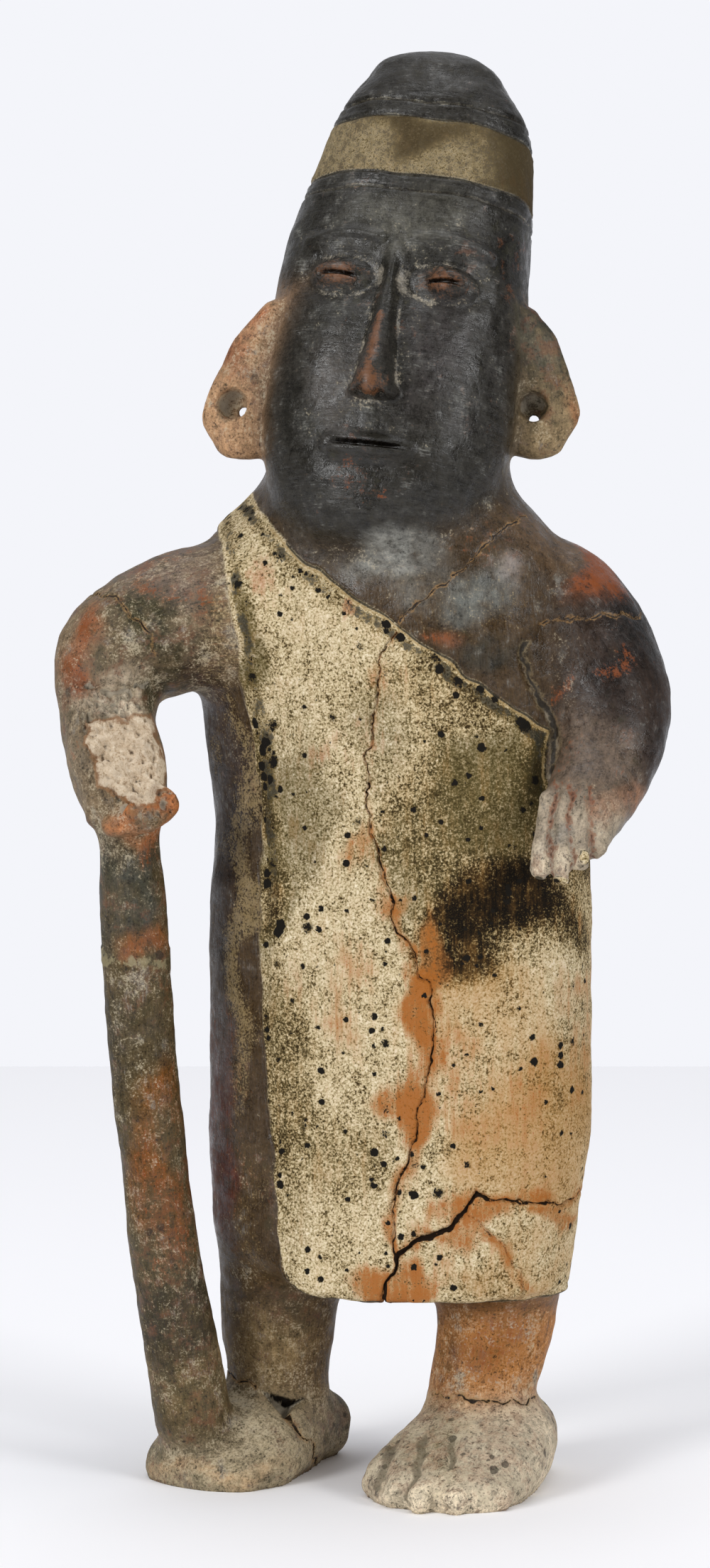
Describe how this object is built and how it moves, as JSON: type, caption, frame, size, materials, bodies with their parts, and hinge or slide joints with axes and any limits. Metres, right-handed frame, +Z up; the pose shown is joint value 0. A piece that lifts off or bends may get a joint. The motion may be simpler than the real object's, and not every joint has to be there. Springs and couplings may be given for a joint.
{
  "type": "standing terracotta figure with a staff",
  "caption": "Standing hollow fired-clay figure with a tall banded head, pierced lobed ears, a mantle over one shoulder and a staff that rests on its foot.",
  "frame": {"origin": "middle of the object's box, on the floor under the feet", "axes": "+Z up, -Y towards the viewer of the picture, +X to the viewer's right"},
  "size_m": [0.3006, 0.172, 0.7081],
  "materials": {
    "fired_clay": "burnished dark brown and grey body, matt cream slip on the mantle, worn"
  },
  "bodies": {
    "root": {"figure": "fired_clay"}
  },
  "joints": []
}
